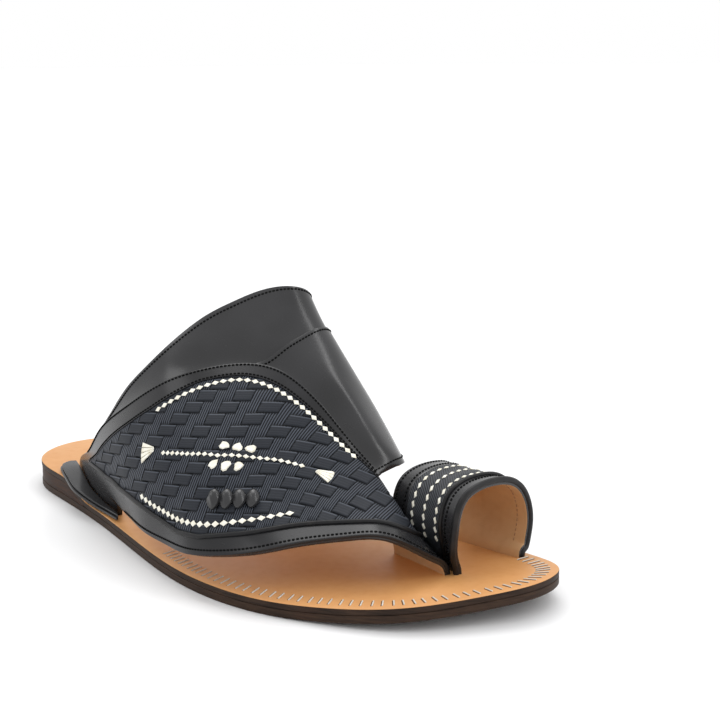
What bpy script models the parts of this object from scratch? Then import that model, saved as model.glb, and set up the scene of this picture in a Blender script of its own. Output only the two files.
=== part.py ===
"""Arabic sandal, the right shoe: leather footbed, outsole and heel lift, one upper
(vamp, side wing and toe ring) with two woven panels, a heel tab and four knots.

x runs from the heel to the toe, +y is the big-toe side, z is up, the shoe stands on z = 0.
Tables and sizes are in millimetres from the back of the heel. A mesh is in metres, from the
point on the ground under the middle of the shoe.
"""

import bmesh
import bpy
import numpy as np
from mathutils import Vector

MM = 0.001
ORIGIN = np.array((145.0, -3.8, 0.0))  # the middle of the shoe, in the tables' terms

# Sole
LENGTH = 290.0
OUTSOLE = 3.0  # wear layer
FOOTBED = 2.65  # top leather
HEEL_RISE = 6.4  # how far the heel stands above the waist
RAMP = (45.0, 75.0)  # the heel's slope down to the waist
TOE_SPRING = 7.6
SPRING_START = 0.72  # share of the length where the toe starts to lift
SEAT = 0.15  # glue line between sole layers
CLEAR = 0.3  # gap between curved pieces
SLOT_EASE = 0.9  # a slot is this much wider than its strap on every side

# Upper
WALL = 2.2  # vamp: leather and lining
BAND_STEP = 0.8  # the rear band lies under the front one
WING_WALL = 2.5
RECESS = 1.3  # how deep a woven panel lies in its border
WEAVE = 0.7  # the woven wall
WEAVE_LIFT = 0.5  # gap under the woven wall
STRIP = 0.5  # how far its strips stand up
RING_WALL = 2.4

# Outline of the sole, clockwise from the heel: x, y
OUTLINE = [
    (0, 4), (12, -20), (42, -30), (90, -39), (138, -51), (178, -58), (210, -56), (241, -45),
    (267, -28), (282, -6), (290, 16), (284, 34), (266, 44), (239, 49), (206, 48), (175, 44),
    (140, 37), (89, 33), (39, 35), (9, 27),
]

# Vamp, lines from the wing over the instep to the medial slot: x, y, z
VAMP = {
    "collar": [
        (50, -22, 15), (60, -25, 25), (78, -30.5, 42), (97.5, -32.3, 60.3), (110.5, -28.5, 72.6),
        (119.5, -21.5, 83.2), (126.5, -9, 93.6), (133.5, 4, 100.4), (140.5, 14, 104.6), (148, 24, 105.6),
        (148.5, 33, 102.5), (143, 38, 96.5), (133, 40, 88), (122, 39, 77), (108, 38, 55),
        (95, 36, 32), (84, 32.5, 10), (82, 31.5, 4.5),
    ],
    "seam": [
        (80, -35, 24), (92, -38, 36), (106, -39, 47), (121, -37, 58), (133, -31, 67),
        (143.5, -20, 74.5), (152, -7, 78.5), (158, 4, 82), (160.5, 15, 86), (161.5, 26, 89),
        (159, 34, 87), (152, 38, 82), (143, 40, 77), (132, 41, 69), (118, 40, 50),
        (107, 37, 28), (98, 33.5, 10), (97, 32.5, 4.5),
    ],
    "middle": [
        (88, -38, 22), (101, -41, 33), (116, -42, 44), (132, -40, 53), (146, -34, 60),
        (160, -24, 64), (173, -10, 66), (184, 6, 67), (186, 17, 67), (185, 26, 66.5),
        (181, 34, 64.5), (173, 38.5, 62), (163, 41, 58), (150, 42.5, 50), (137, 41.5, 36),
        (126, 38.5, 22), (118, 34.5, 10), (117, 33.5, 4.5),
    ],
    "front": [
        (94, -40, 20), (108, -44, 31), (124, -46, 41), (142, -43, 50), (158, -36, 53),
        (176, -24, 53), (194, -10, 48), (211.8, 8, 39.3), (212.4, 17, 39.4), (210.2, 26, 39.3),
        (205.5, 33, 38), (196, 38.5, 36.5), (183, 41.5, 34.5), (168, 42.5, 31), (156, 41.5, 25),
        (145, 38.5, 18), (137, 35, 10), (136, 34, 4.5),
    ],
}
VAMP_AT = (0.0, 0.25, 0.58, 1.0)  # where each line lies from the collar to the front edge

# Wing, a row per section from the heel slot to the toe slot:
# upper border, upper third, lower third, lower edge, each x, y, z
WING = [
    ((40, -17, 10.9), (60, -26, 7.6), (79, -32, 4.5), (97, -35.5, 4.5)),
    ((41, -17.5, 14), (61, -26.5, 11), (80, -32.5, 8), (98, -36, 7.6)),
    ((61.5, -26.5, 25.5), (76, -32.5, 22), (91, -36.8, 17), (106, -40.3, 13)),
    ((82, -32.8, 41), (96, -39.2, 33.5), (109, -43.2, 23.5), (123, -46.5, 13)),
    ((109, -36, 57.5), (121, -43.8, 45.5), (132, -49.8, 29.5), (143, -53, 13)),
    ((132.5, -28.8, 71.8), (147, -40.3, 56.5), (155, -51, 37), (163, -56.5, 13.5)),
    ((152, -8, 77.5), (166, -28, 61), (176, -47, 42), (186, -60, 16.5)),
    ((169, 1.5, 74), (182, -20, 54), (192, -40, 37), (208, -53, 21.5)),
    ((187, 5.5, 62), (198, -12, 46.5), (208, -28, 34.5), (221, -41, 25.5)),
    ((203, 6.5, 49.5), (214, -5, 40), (225, -17, 33), (234.5, -26.5, 27.8)),
    ((213, 8.5, 40), (226, 2, 34), (236, -8, 30.5), (245, -17, 27.8)),
    ((217, 12, 26), (229, 9, 24.5), (241, 4.5, 21), (251.5, -1, 18)),
    ((217, 16.8, 10), (229, 14.8, 10), (240.5, 12.1, 9.5), (252, 8.4, 10)),
    ((217, 17.2, 4.5), (229, 15.3, 4.5), (240.5, 12.8, 5), (252, 9.5, 5.5)),
]
WING_CROSS = (0.0, 0.33, 0.67, 1.0)

# Woven panel of the wing, in the wing's own terms: place along it, upper edge, lower edge
PANEL = [
    (0.085, 0.15, 0.20), (0.11, 0.19, 0.36), (0.145, 0.22, 0.54), (0.21, 0.21, 0.69),
    (0.30, 0.18, 0.78), (0.365, 0.15, 0.85), (0.42, 0.11, 0.895), (0.455, 0.085, 0.917),
    (0.52, 0.075, 0.925), (0.60, 0.075, 0.895), (0.70, 0.08, 0.85), (0.80, 0.085, 0.805),
    (0.86, 0.09, 0.76), (0.89, 0.14, 0.72), (0.915, 0.28, 0.64), (0.93, 0.40, 0.56),
]
PANEL_CELLS = (22, 7)  # strips along and across
PANEL_GAPS = (0.005, 0.022, 0.012)  # the weave stops this short: at the rear, the front, the sides
RING_PANEL = (0.21, 0.90, 0.24, 0.78)  # over the toe: from, to, rear edge, front edge
RING_CELLS = (13, 3)
RIM = (0.88, 0.7)  # the front rim is piped: where it starts, how far it stands up

# Toe ring, a row per section from the rear rim to the front rim. Each leg has its foot in a
# slot: x of the lateral foot, crest and medial foot, then the shape of the arch
RING = [
    # x_lat, x_top, x_med, y_lat, y_wide_lat, y_top, z_top, y_wide_med, y_med
    (217.0, 219.5, 216.0, 16.0, 11.0, 30.5, 41.2, 51.5, 46.5),
    (229.5, 232.5, 231.0, 14.0, 9.5, 29.5, 41.8, 50.5, 45.5),
    (242.0, 245.5, 246.5, 11.5, 7.5, 27.5, 42.3, 49.5, 43.5),
    (254.5, 258.5, 261.0, 9.0, 5.5, 26.0, 42.8, 47.5, 41.5),
]

# Heel tab, a row per section: inner edge, then outer edge
TAB = [
    ((38, -17.4, 14.9), (35.8, -20.0, 14.9)),
    ((40.5, -18.4, 14.9), (37, -24.4, 14.9)),
    ((45, -20.3, 14.9), (43, -28.9, 14.8)),
    ((54, -24.2, 14.0), (54, -33.3, 13.9)),
    ((64, -28.3, 12.2), (64, -36.8, 12.5)),
    ((74, -31.7, 10.7), (74, -38.4, 11.2)),
    ((84, -34.2, 9.6), (84, -39.0, 9.8)),
    ((91.5, -36.2, 9.0), (91.5, -39.2, 9.0)),
    ((98.5, -37.9, 8.9), (98.5, -40.2, 8.9)),
    ((105, -40.3, 8.9), (105.2, -41.3, 8.9)),
]
TAB_LAYER = 1.1  # thickness of each of its two layers

# Knots of rolled leather on the wing: place along it and across it
KNOTS = [(0.545, 0.755), (0.570, 0.733), (0.594, 0.708), (0.618, 0.684)]
KNOT = (2.3, 3.9, 1.9)  # half width, half length, height


def spline(knots, values, at):
    """Natural cubic curve through the rows of values."""
    knots = np.asarray(knots, float)
    values = np.asarray(values, float)
    at = np.atleast_1d(np.asarray(at, float))
    count = len(knots)
    step = np.diff(knots)
    rate = np.diff(values, axis=0) / step[:, None]
    matrix = np.eye(count)
    right = np.zeros_like(values)
    for i in range(1, count - 1):
        matrix[i, i - 1 : i + 2] = step[i - 1], 2 * (step[i - 1] + step[i]), step[i]
        right[i] = 6 * (rate[i] - rate[i - 1])
    bend = np.linalg.solve(matrix, right)
    k = np.clip(np.searchsorted(knots, at, side="right") - 1, 0, count - 2)
    h = step[k][:, None]
    a = (knots[k + 1] - at)[:, None]
    b = (at - knots[k])[:, None]
    return (
        (bend[k] * a**3 + bend[k + 1] * b**3) / (6 * h)
        + (values[k] / h - bend[k] * h / 6) * a
        + (values[k + 1] / h - bend[k + 1] * h / 6) * b
    )


def chord(points):
    """Share of the length at each point of a line."""
    run = np.r_[0, np.cumsum(np.linalg.norm(np.diff(points, axis=0), axis=1))]
    return run / run[-1]


def smooth(low, high, x):
    part = np.clip((np.asarray(x, float) - low) / (high - low), 0, 1)
    return part * part * (3 - 2 * part)


def footbed_top(x):
    """Height of the footbed above the ground."""
    x = np.asarray(x, float)
    spring = TOE_SPRING * (np.maximum(x / LENGTH - SPRING_START, 0) / (1 - SPRING_START)) ** 2
    return OUTSOLE + SEAT + FOOTBED + spring + HEEL_RISE * (1 - smooth(*RAMP, x))


def foot(points, down):
    """Points of a leg moved to a height inside the footbed (down) or just above it."""
    points = np.array(points, float)
    lift = 0.45 - FOOTBED if down else 2.0
    points[..., 2] = footbed_top(points[..., 0]) + lift
    return points


def vamp_surface(u, v):
    """Outer face of the vamp: u across the foot, v from the collar to the front edge."""
    lines = np.array([VAMP[name] for name in VAMP], float)
    lines[:, -1] = foot(lines[:, -1], True)
    knots = np.mean([chord(line) for line in lines], axis=0)
    across = np.array([spline(knots, line, u) for line in lines])
    flat = across.reshape(len(lines), -1)
    return spline(VAMP_AT, flat, v).reshape(len(v), len(u), 3).transpose(1, 0, 2)


def wing_surface(s, t):
    """Outer face of the wing: s from the heel slot to the toe slot, t from border to edge."""
    rows = np.array(WING, float)
    rows[[0, -1]] = foot(rows[[0, -1]], True)
    rows[[1, -2]] = foot(rows[[1, -2]], False)
    knots = np.mean([chord(rows[:, k]) for k in range(rows.shape[1])], axis=0)
    along = np.array([spline(knots, rows[:, k], s) for k in range(rows.shape[1])])
    flat = along.reshape(rows.shape[1], -1)
    return spline(WING_CROSS, flat, t).reshape(len(t), len(s), 3).transpose(1, 0, 2)


def ring_surface(s, t):
    """Outer face of the toe ring: s over the toe from slot to slot, t from rear to front."""
    rows = spline(np.linspace(0, 1, len(RING)), RING, t)
    lines = []
    for x_lat, x_top, x_med, y_lat, y_wide_lat, y_top, z_top, y_wide_med, y_med in rows:
        arch = [
            (x_lat, y_lat, 4),
            (x_lat, y_lat - 0.4, 8),
            (0.75 * x_lat + 0.25 * x_top, 0.25 * y_lat + 0.75 * y_wide_lat, 15),
            (0.5 * (x_lat + x_top), y_wide_lat, 0.55 * z_top),
            (0.25 * x_lat + 0.75 * x_top, y_wide_lat + 0.20 * (y_top - y_wide_lat), 0.90 * z_top),
            (x_top, y_top, z_top),
            (0.25 * x_med + 0.75 * x_top, y_wide_med - 0.24 * (y_wide_med - y_top), 0.86 * z_top),
            (0.5 * (x_med + x_top), y_wide_med, 0.50 * z_top),
            (0.75 * x_med + 0.25 * x_top, 0.35 * y_med + 0.65 * y_wide_med, 15),
            (0.9 * x_med + 0.1 * x_top, 0.72 * y_med + 0.28 * y_wide_med, 11.5),
            (x_med, y_med + 0.15, 8),
            (x_med, y_med, 4),
        ]
        arch = np.array(arch)
        arch[[0, -1]] = foot(arch[[0, -1]], True)
        arch[[1, -2]] = foot(arch[[1, -2]], False)
        lines.append(spline(chord(arch), arch, s))
    return np.array(lines).transpose(1, 0, 2)


def normals(grid):
    """Unit normals of a grid of points, to its upper side."""
    along = np.gradient(grid, axis=0)
    across = np.gradient(grid, axis=1)
    cross = np.cross(along, across)
    cross /= np.linalg.norm(cross, axis=2, keepdims=True)
    return cross if cross[..., 2].mean() > 0 else -cross


def sheet(surface, s, t):
    """Points of a surface and its unit normals; t holds a row of places for each s."""
    d = 0.006
    points, normal = [], []
    for place, row in zip(s, t):
        span = surface(np.clip([place - d, place, place + d], 0, 1), row)
        before = surface(np.array([place]), np.clip(row - d, 0, 1))[0]
        after = surface(np.array([place]), np.clip(row + d, 0, 1))[0]
        cross = np.cross(span[2] - span[0], after - before)
        points.append(span[1])
        normal.append(cross / np.linalg.norm(cross, axis=1, keepdims=True))
    points, normal = np.array(points), np.array(normal)
    return points, normal if normal[..., 2].mean() > 0 else -normal


def seat_on_wing(grid):
    """Moves the vamp's outer face to lie inside the wing's wall, and just under its free edge."""
    s, t = np.linspace(0, 1, 121), np.linspace(0, 1, 49)
    wing = wing_surface(s, t)
    out = normals(wing)
    flat, flat_out = wing.reshape(-1, 3), out.reshape(-1, 3)
    moved = grid.copy()
    for index in np.ndindex(grid.shape[:2]):
        point = grid[index]
        near = np.argmin(((flat - point) ** 2).sum(axis=1))
        i, j = divmod(near, len(t))
        gap = point - flat[near]
        height = gap @ flat_out[near]
        aside = np.linalg.norm(gap - height * flat_out[near])
        free = smooth(0.50, 0.58, s[i]) * (1 - smooth(0.04, 0.22, t[j]))
        depth = WING_WALL - 0.62 + 2.1 * free
        share = np.exp(-((max(aside - 2.5, 0) / 7.0) ** 2)) * smooth(0.02, 0.10, s[i])
        share *= 1 - smooth(15.0, 22.0, abs(depth + height))
        moved[index] = point + (-depth - height) * share * flat_out[near]
    return moved


# Mesh making


def mesh_object(name, points, faces, colour, roughness=0.5, helper=False):
    """A closed mesh object, faces turned outward."""
    mesh = bpy.data.meshes.new(name)
    mesh.from_pydata([Vector((p - ORIGIN) * MM) for p in points], [], [list(f) for f in faces])
    model = bmesh.new()
    model.from_mesh(mesh)
    bmesh.ops.recalc_face_normals(model, faces=model.faces)
    if model.calc_volume(signed=True) < 0:
        bmesh.ops.reverse_faces(model, faces=model.faces)
    model.to_mesh(mesh)
    model.free()
    thing = bpy.data.objects.new(name, mesh)
    bpy.context.scene.collection.objects.link(thing)
    if helper:
        thing.hide_render = True
        thing.display_type = "WIRE"
        return thing
    material = bpy.data.materials.new(name + "_material")
    material.use_nodes = True
    shader = material.node_tree.nodes["Principled BSDF"]
    shader.inputs["Base Color"].default_value = (*colour, 1)
    shader.inputs["Roughness"].default_value = roughness
    shader.inputs["Metallic"].default_value = 0
    mesh.materials.append(material)
    return thing


def wall(outer, inner):
    """Points and faces of a sheet with a thickness, from its two grids of points."""
    rows, columns = outer.shape[:2]
    points = np.concatenate([outer.reshape(-1, 3), inner.reshape(-1, 3)])
    half = rows * columns
    faces = []
    for i in range(rows - 1):
        for j in range(columns - 1):
            a, b = i * columns + j, (i + 1) * columns + j
            faces.append((a, b, b + 1, a + 1))
            faces.append((half + a, half + a + 1, half + b + 1, half + b))
    rim = [i * columns for i in range(rows)]
    rim += [(rows - 1) * columns + j for j in range(1, columns)]
    rim += [i * columns + columns - 1 for i in range(rows - 2, -1, -1)]
    rim += list(range(columns - 2, 0, -1))
    for a, b in zip(rim, rim[1:] + rim[:1]):
        faces.append((a, half + a, half + b, b))
    return points, faces


def closed_loft(sections):
    """Points and faces of a solid through closed sections, with a cap on each end."""
    sections = np.asarray(sections)
    count, around = sections.shape[:2]
    faces = [tuple(range(around))[::-1], tuple(range((count - 1) * around, count * around))]
    for i in range(count - 1):
        for j in range(around):
            k = (j + 1) % around
            a, b = i * around, (i + 1) * around
            faces.append((a + j, a + k, b + k, b + j))
    return sections.reshape(-1, 3), faces


def boolean(thing, tool, operation):
    modifier = thing.modifiers.new(tool.name, "BOOLEAN")
    modifier.operation = operation
    modifier.solver = "EXACT"
    modifier.object = tool


def outline_edges(count):
    """Stations along the sole, with the outline's y on the lateral and the medial side."""
    loop = np.array(OUTLINE + OUTLINE[:1], float)
    wrap = np.concatenate([loop[-4:-1], loop, loop[1:4]])
    knots = np.r_[0, np.cumsum(np.linalg.norm(np.diff(wrap, axis=0), axis=1))]
    fine = spline(knots, wrap, np.linspace(knots[3], knots[-4], 1601))
    heel, toe = fine[:, 0].argmin(), fine[:, 0].argmax()
    fine = np.roll(fine[:-1], -heel, axis=0)
    toe = fine[:, 0].argmax()
    lateral, medial = fine[: toe + 1], np.r_[fine[toe:], fine[:1]][::-1]
    low, high = fine[:, 0].min() + 0.06, fine[:, 0].max() - 0.06
    x = low + (high - low) * (1 - np.cos(np.linspace(0, np.pi, count))) / 2
    y_lateral = np.interp(x, lateral[:, 0], lateral[:, 1])
    y_medial = np.interp(x, medial[:, 0], medial[:, 1])
    return x, y_lateral, y_medial


def sole_layer(x, y_lateral, y_medial, bottom, top, ease):
    """A layer of the sole between two heights, its long edges eased."""
    sections = []
    for i in range(len(x)):
        a, b, low, high = y_lateral[i], y_medial[i], bottom[i], top[i]
        e = min(ease, 0.2 * (b - a), 0.3 * (high - low))
        profile = [(a, low + e), (a, high - e), (a + e, high), (b - e, high)]
        profile += [(b, high - e), (b, low + e), (b - e, low), (a + e, low)]
        sections.append([(x[i], y, z) for y, z in profile])
    return closed_loft(sections)


def level_feet(outer, inner, row):
    """Puts the end of a leg at one depth in its slot all the way along."""
    outer[row] = foot(outer[row], True)
    inner[row] = foot(inner[row], True)


def panel_edges(s):
    table = np.array(PANEL, float)
    return np.interp(s, table[:, 0], table[:, 1]), np.interp(s, table[:, 0], table[:, 2])


def slot(name, top_row, out, thick):
    """Cutter for the footbed where a leg goes through: the leg's foot, made wider all round."""
    top_row = np.array(top_row, float)
    along = np.gradient(top_row, axis=0)
    along[:, 2] = 0
    along /= np.linalg.norm(along, axis=1, keepdims=True)
    top_row[0] -= along[0] * SLOT_EASE
    top_row[-1] += along[-1] * SLOT_EASE
    flat = np.array(out, float)
    flat[:, 2] = 0
    flat /= np.linalg.norm(flat, axis=1, keepdims=True)
    outer = top_row + flat * SLOT_EASE
    inner = top_row - flat * (thick + SLOT_EASE)
    sections = []
    for a, b in zip(outer, inner):
        sections.append([(a[0], a[1], -2), (a[0], a[1], 22), (b[0], b[1], 22), (b[0], b[1], -2)])
    return mesh_object(name, *closed_loft(sections), (0, 0, 0), helper=True)


def build_sole():
    x, y_lateral, y_medial = outline_edges(47)
    top = footbed_top(x)
    spring = top - footbed_top(100.0) - HEEL_RISE * (1 - smooth(*RAMP, x))
    heel_round = 1.6 * (1 - smooth(0, 14, x)) ** 2
    outsole = sole_layer(x, y_lateral, y_medial, spring + heel_round, spring + OUTSOLE, 0.6)
    mesh_object("outsole", *outsole, (0.10, 0.065, 0.045), 0.75)
    lift_top = HEEL_RISE * (1 - smooth(*RAMP, x)) - SEAT
    keep = lift_top > 0.35
    base = (OUTSOLE + SEAT + spring)[keep]
    lift = sole_layer(
        x[keep], y_lateral[keep], y_medial[keep], base, base + lift_top[keep], 0.15
    )
    mesh_object("heel_lift", *lift, (0.045, 0.03, 0.025), 0.6)
    footbed = sole_layer(x, y_lateral, y_medial, top - FOOTBED, top, 0.45)
    return mesh_object("footbed", *footbed, (0.75, 0.43, 0.2), 0.55)


def vamp_grid():
    u = np.linspace(0, 1, 36)
    v = np.r_[0, 0.08, 0.165, 0.246, 0.251, np.linspace(0.33, 1, 10)]
    face = seat_on_wing(vamp_surface(u, v))
    out = normals(face)
    step = np.where(v < 0.25, BAND_STEP, 0.0)[None, :, None]
    outer, inner = face - out * step, face - out * WALL
    level_feet(outer, inner, -1)
    return outer, inner


def wing_grid():
    s = np.unique(np.r_[np.linspace(0, 1, 40), PANEL[0][0] - 0.003, PANEL[0][0],
                        PANEL[-1][0], PANEL[-1][0] + 0.003])
    upper, lower = panel_edges(s)
    inside = np.linspace(0, 1, 9)
    t = [np.zeros_like(s), upper * 0.5, upper - 0.004]
    t += [upper + (lower - upper) * k for k in inside]
    t += [lower + 0.004, (lower + 1) * 0.5, np.ones_like(s)]
    t = np.array(t).T
    face, out = sheet(wing_surface, s, t)
    drop = np.zeros(t.shape)
    middle = (s > PANEL[0][0] - 0.001) & (s < PANEL[-1][0] + 0.001)
    drop[middle, 3:-3] = RECESS
    outer, inner = face - out * drop[..., None], face - out * WING_WALL
    level_feet(outer, inner, 0)
    level_feet(outer, inner, -1)
    return face, out, outer, inner


def ring_grid():
    low, high, rear, front = RING_PANEL
    s = np.unique(np.r_[np.linspace(0, 1, 19), low - 0.003, low, high, high + 0.003])
    t = np.array([0, 0.12, rear - 0.008, rear, 0.42, 0.60, front, front + 0.008,
                  RIM[0] - 0.008, RIM[0] + 0.008, 0.94, 1.0])
    face, out = sheet(ring_surface, s, np.tile(t, (len(s), 1)))
    drop = np.zeros((len(s), len(t)))
    along = (s > low - 0.001) & (s < high + 0.001)
    across = (t > rear - 0.001) & (t < front + 0.001)
    drop[np.ix_(along, across)] = RECESS
    leg = smooth(0, 0.08, s) * smooth(0, 0.08, 1 - s)
    drop[:, t > RIM[0]] = -RIM[1] * leg[:, None]
    drop[:, -1] += 0.5 * RIM[1] * leg
    outer, inner = face - out * drop[..., None], face - out * RING_WALL
    level_feet(outer, inner, 0)
    level_feet(outer, inner, -1)
    return face, out, outer, inner


def cells(count, low, high, edge):
    """Knots across a row of strips, a pair at each joint, and which of them stand up."""
    ends = np.linspace(low, high, count + 1)
    knots, which = [], []
    for k in range(count):
        knots += [ends[k] + edge, ends[k + 1] - edge]
        which += [k, k]
    knots[0], knots[-1] = low, high
    return np.array(knots), np.array(which)


def build_wing_weave():
    low, high = PANEL[0][0] + PANEL_GAPS[0], PANEL[-1][0] - PANEL_GAPS[1]
    s, s_cell = cells(PANEL_CELLS[0], low, high, 0.0016)
    share, t_cell = cells(PANEL_CELLS[1], 0, 1, 0.012)
    upper, lower = panel_edges(s)
    t = (upper + PANEL_GAPS[2])[:, None] + (lower - upper - 2 * PANEL_GAPS[2])[:, None] * share
    face, out = sheet(wing_surface, s, t)
    raised = ((s_cell[:, None] + t_cell) % 2 == 0) * STRIP
    base = WEAVE_LIFT - RECESS
    outer = face + out * (base + WEAVE + raised)[..., None]
    mesh_object("wing_weave", *wall(outer, face + out * base), (0.03, 0.04, 0.06), 0.6)


def build_ring_weave():
    low, high, rear, front = RING_PANEL
    s, s_cell = cells(RING_CELLS[0], low + 0.005, high - 0.005, 0.003)
    t, t_cell = cells(RING_CELLS[1], rear + 0.012, front - 0.012, 0.006)
    face, out = sheet(ring_surface, s, np.tile(t, (len(s), 1)))
    raised = ((s_cell[:, None] + t_cell) % 2 == 0) * STRIP
    base = WEAVE_LIFT - RECESS
    outer = face + out * (base + WEAVE + raised)[..., None]
    mesh_object("ring_weave", *wall(outer, face + out * base), (0.03, 0.04, 0.06), 0.6)


def build_upper(footbed):
    leather = (0.012, 0.013, 0.016)
    face, out, outer, inner = wing_grid()
    upper = mesh_object("upper", *wall(outer, inner), leather, 0.3)
    slots = [
        slot("slot_lateral", face[0], out[0], WING_WALL),
        slot("slot_toe_wing", face[-1], out[-1], WING_WALL),
    ]
    outer, inner = vamp_grid()
    boolean(upper, mesh_object("vamp", *wall(outer, inner), leather, helper=True), "UNION")
    slots.append(slot("slot_medial", outer[-1], normals(outer)[-1], WALL))
    face, out, outer, inner = ring_grid()
    boolean(upper, mesh_object("toe_ring", *wall(outer, inner), leather, helper=True), "UNION")
    slots.append(slot("slot_toe_ring", face[0], out[0], RING_WALL))
    slots.append(slot("slot_ring_medial", face[-1], out[-1], RING_WALL))
    for cutter in slots:
        boolean(footbed, cutter, "DIFFERENCE")
    return upper


def build_tab():
    rows = np.array(TAB, float)
    at = np.linspace(0, 1, 17)
    inner = spline(chord(rows[:, 0]), rows[:, 0], at)
    outer = spline(chord(rows[:, 1]), rows[:, 1], at)
    sections = []
    down = np.array((0, 0, -TAB_LAYER))
    for a, b in zip(inner, outer):
        side = (a - b) / np.linalg.norm(a - b)
        step = b + side * 0.9
        sections.append([a, step, step + down * 0.9, b + down, b + down * 2, a + down * 2])
    mesh_object("heel_tab", *closed_loft(sections), (0.012, 0.013, 0.016), 0.35)


def build_knots():
    for number, (s, t) in enumerate(KNOTS, 1):
        patch = wing_surface(np.array([s - 0.01, s, s + 0.01]), np.array([t - 0.02, t, t + 0.02]))
        out = normals(patch)[1, 1]
        place = patch[1, 1] + out * (CLEAR + WEAVE_LIFT - RECESS + WEAVE + STRIP)
        long = patch[1, 2] - patch[1, 0]
        long -= out * (long @ out)
        long /= np.linalg.norm(long)
        wide = np.cross(out, long)
        sections = []
        for angle in np.linspace(-1.35, 1.35, 9):
            ring = []
            for turn in np.linspace(0, 2 * np.pi, 12, endpoint=False):
                up = max(np.sin(turn), -0.25) + 0.25
                ring.append(
                    place
                    + long * KNOT[1] * np.sin(angle)
                    + wide * KNOT[0] * np.cos(angle) * np.cos(turn)
                    + out * KNOT[2] * np.cos(angle) * up
                )
            sections.append(ring)
        mesh_object(f"knot_{number}", *closed_loft(sections), (0.012, 0.013, 0.016), 0.4)


def main():
    for thing in list(bpy.data.objects):
        bpy.data.objects.remove(thing)
    footbed = build_sole()
    build_upper(footbed)
    build_wing_weave()
    build_ring_weave()
    build_tab()
    build_knots()


main()
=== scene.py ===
"""Arabic sandal, the right shoe: the fine shape and the finish of every piece.

Tables and sizes are in millimetres from the back of the heel: x to the toe, y to the big-toe
side, z up from the ground. ORIGIN is the point of the frame in those terms.
"""

import math

import bpy
import numpy as np
from mathutils import Matrix, Vector


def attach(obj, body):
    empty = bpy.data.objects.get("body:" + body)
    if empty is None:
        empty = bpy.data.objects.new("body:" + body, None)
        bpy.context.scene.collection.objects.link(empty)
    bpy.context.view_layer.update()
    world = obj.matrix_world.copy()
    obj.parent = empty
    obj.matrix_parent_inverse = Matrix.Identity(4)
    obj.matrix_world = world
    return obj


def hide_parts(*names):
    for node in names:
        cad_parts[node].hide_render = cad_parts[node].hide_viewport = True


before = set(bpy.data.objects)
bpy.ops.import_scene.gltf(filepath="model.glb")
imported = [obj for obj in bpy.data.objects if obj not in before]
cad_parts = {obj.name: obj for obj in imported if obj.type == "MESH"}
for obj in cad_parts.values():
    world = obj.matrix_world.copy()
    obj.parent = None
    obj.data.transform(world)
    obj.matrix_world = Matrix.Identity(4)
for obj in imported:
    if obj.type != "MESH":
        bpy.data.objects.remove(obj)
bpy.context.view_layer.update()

MM = 0.001
ORIGIN = np.array((145.0, -3.8, 0.0))

# Sole
LENGTH = 290.0
OUTSOLE = 3.0
FOOTBED = 2.65
HEEL_RISE = 6.4
RAMP = (45.0, 75.0)
TOE_SPRING = 7.6
SPRING_START = 0.72
SEAT = 0.15

# Upper
VAMP_WALL = 2.2
BAND = 1.2  # leather of the front band
REAR_BAND = (0.8, 1.55)  # the rear band lies between these depths
LINING_DEPTH = 1.5  # the vamp's lining starts here
WING_WALL = 2.5
RECESS = 1.3  # the border of the wing stands this far over the base
RING_WALL = 2.4
RING_BAND = 1.2  # leather over the ring's base
WEAVE_DEPTH = 0.62  # the foot of a woven panel lies this far under the face

# Stitches: length, radius and ease of the ends
FOOTBED_STITCH = (5.6, 0.32, 0.12)
SEAM_STITCH = (1.15, 0.42, 0.21)
LINING_STITCH = (1.15, 0.30, 0.15)
SEAM_PITCH = 1.6
LINING_PITCH = 1.9
STITCHES_FROM = 150  # x on the lateral side
STITCHES_TO = 262  # x on the medial side, round the toe
STITCH_INSET = 6.0  # from the rim to the middle of a footbed stitch
# Painted shadow of a footbed stitch: a dark copy sunk this far and set this far aside
STITCH_SHADOW_DEPTH = 0.22
STITCH_SHADOW_ASIDE = 0.42

OUTLINE = [
    (0, 4), (12, -20), (42, -30), (90, -39), (138, -51), (178, -58), (210, -56), (241, -45),
    (267, -28), (282, -6), (290, 16), (284, 34), (266, 44), (239, 49), (206, 48), (175, 44),
    (140, 37), (89, 33), (39, 35), (9, 27),
]

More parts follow.
